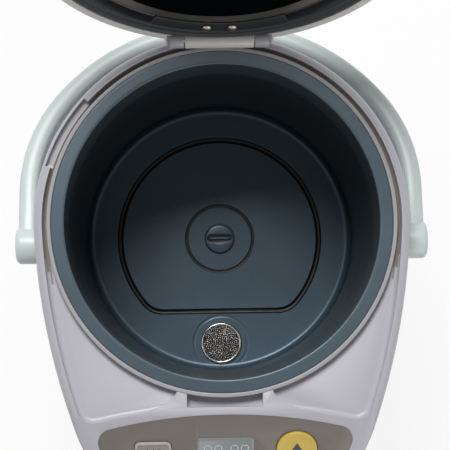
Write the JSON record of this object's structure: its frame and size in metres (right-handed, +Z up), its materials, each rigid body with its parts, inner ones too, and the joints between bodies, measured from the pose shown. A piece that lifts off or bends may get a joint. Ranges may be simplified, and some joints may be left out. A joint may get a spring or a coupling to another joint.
{
  "type": "electric thermo pot",
  "caption": "Electric thermo pot: open hinged lid, steel inner pot with outlet strainer, sloping control panel over a pumped spout, level gauge, folding handle and swivel base.",
  "frame": {"origin": "on the pot's vertical axis, at the underside of the middle rubber foot, on the table plane", "axes": "+Z up; -Y towards the spout and control panel; +X to the right as seen from above with the panel nearest"},
  "size_m": [0.2336, 0.3642, 0.4501],
  "materials": {
    "shell_plastic": "satin gloss, light silver grey",
    "shell_steel": "painted, light silver grey",
    "collar_plastic": "satin, mid grey",
    "dark_plastic": "matte, dark grey",
    "black_plastic": "satin black",
    "handle_plastic": "glossy off-white",
    "faceplate_plastic": "matte taupe",
    "key_plastic": "satin light grey",
    "yellow_plastic": "glossy yellow",
    "amber_plastic": "glossy amber",
    "display_glass": "grey display window",
    "module_grey": "matte",
    "pot_steel": "bright sheet steel",
    "lid_steel": "polished",
    "bare_steel": "bright",
    "heater_alloy": "cast",
    "circuit_green": "matte",
    "copper": "enamelled copper",
    "gold_contact": "plated",
    "pump_plastic": "matte",
    "impeller_plastic": "matte",
    "magnet_brown": "sintered",
    "ceramic": "matte",
    "insulation": "felted",
    "silicone": "translucent",
    "seal_rubber": "matte",
    "foot_rubber": "matte",
    "glass_tube": "clear",
    "clear_plastic": "clear",
    "scale_white": "matte",
    "float_red": "glossy"
  },
  "bodies": {
    "housing": {"bottom_cover": "dark_plastic", "bottom_screws": "bare_steel", "body_shell": "shell_steel", "gauge_window": "clear_plastic", "gauge_scale": "scale_white", "inlet_socket": "black_plastic", "inlet_pins": "gold_contact", "power_board": "circuit_green", "transformer": "copper", "heat_shield": "bare_steel", "motor_case": "bare_steel", "pump_housing": "pump_plastic", "pump_cover": "pump_plastic", "inlet_hose": "silicone", "riser_elbow": "pump_plastic", "gauge_tube": "glass_tube", "upper_elbow": "pump_plastic", "valve_body": "pump_plastic", "spout_pipe": "pump_plastic", "spout_nozzle": "black_plastic", "inner_pot": "pot_steel", "center_cap": "bare_steel", "filter_ring": "bare_steel", "filter_mesh": "bare_steel", "heater_plate": "heater_alloy", "heater_clamp": "bare_steel", "thermostat": "ceramic", "insulation_jacket": "insulation", "pot_seal": "seal_rubber", "pot_collar": "collar_plastic", "top_frame": "shell_plastic", "beak_cover": "shell_plastic", "control_faceplate": "faceplate_plastic", "lcd_window": "display_glass", "lcd_module": "module_grey", "indicator_lenses": "amber_plastic", "control_board": "circuit_green", "pivot_pins": "bare_steel", "hinge_pin": "bare_steel"},
    "base": {"swivel_base": "dark_plastic", "rubber_feet": "foot_rubber", "swivel_screw": "bare_steel"},
    "lid": {"hinge_plate": "black_plastic", "lid_frame": "black_plastic", "lid_screws": "bare_steel", "lid_cover": "shell_plastic", "lid_gasket": "seal_rubber", "inner_lid": "lid_steel", "steam_vent": "collar_plastic"},
    "latch": {"latch_lever": "key_plastic"},
    "handle": {"handle_bail": "handle_plastic", "handle_caps": "handle_plastic"},
    "rotor": {"motor_rotor": "magnet_brown"},
    "impeller": {"impeller": "impeller_plastic"},
    "float": {"level_float": "float_red"},
    "ball": {"valve_ball": "bare_steel"},
    "pour_key": {"pour_button": "yellow_plastic"},
    "boil_key": {"boil_button": "key_plastic"},
    "unlock_key": {"unlock_button": "key_plastic"},
    "select_key": {"select_button": "key_plastic"}
  },
  "joints": [
    {"name": "base_turn", "type": "hinge", "parent": "housing", "child": "base", "pos_m": [0, 0, 0], "axis": [0, 0, 1], "continuous": true},
    {"name": "lid_close", "type": "hinge", "parent": "housing", "child": "lid", "pos_m": [0, 0.099, 0.253], "axis": [1, 0, 0], "range_deg": [0, 110]},
    {"name": "latch_press", "type": "hinge", "parent": "lid", "child": "latch", "pos_m": [0, 0.18769, 0.41334], "axis": [1, 0, 0], "range_deg": [0, 2.5], "stiffness_Nm_per_rad": 0.1, "springref_deg": -17.19},
    {"name": "handle_raise", "type": "hinge", "parent": "housing", "child": "handle", "pos_m": [0, -0.01, 0.212], "axis": [1, 0, 0], "range_deg": [0, 18]},
    {"name": "motor_spin", "type": "hinge", "parent": "housing", "child": "rotor", "pos_m": [0, -0.0685, 0.025], "axis": [0, 0, 1], "continuous": true},
    {"name": "impeller_spin", "type": "hinge", "parent": "housing", "child": "impeller", "pos_m": [0, -0.0685, 0.038], "axis": [0, 0, 1], "continuous": true},
    {"name": "float_rise", "type": "slide", "parent": "housing", "child": "float", "axis": [0, 0, 1], "range_m": [0, 0.1]},
    {"name": "ball_lift", "type": "slide", "parent": "housing", "child": "ball", "axis": [0, 0, 1], "range_m": [0, 0.0045]},
    {"name": "pour_press", "type": "slide", "parent": "housing", "child": "pour_key", "axis": [0, 0.5, -0.866], "range_m": [0, 0.0012], "stiffness_N_per_m": 300, "springref_m": -0.003},
    {"name": "boil_press", "type": "slide", "parent": "housing", "child": "boil_key", "axis": [0, 0.5, -0.866], "range_m": [0, 0.0012], "stiffness_N_per_m": 300, "springref_m": -0.003},
    {"name": "unlock_press", "type": "slide", "parent": "housing", "child": "unlock_key", "axis": [0, 0.5, -0.866], "range_m": [0, 0.0012], "stiffness_N_per_m": 300, "springref_m": -0.003},
    {"name": "select_press", "type": "slide", "parent": "housing", "child": "select_key", "axis": [0, 0.5, -0.866], "range_m": [0, 0.0012], "stiffness_N_per_m": 300, "springref_m": -0.003}
  ],
  "couplings": [
    {"joint": "impeller_spin", "follows": "motor_spin", "ratio": 1}
  ]
}
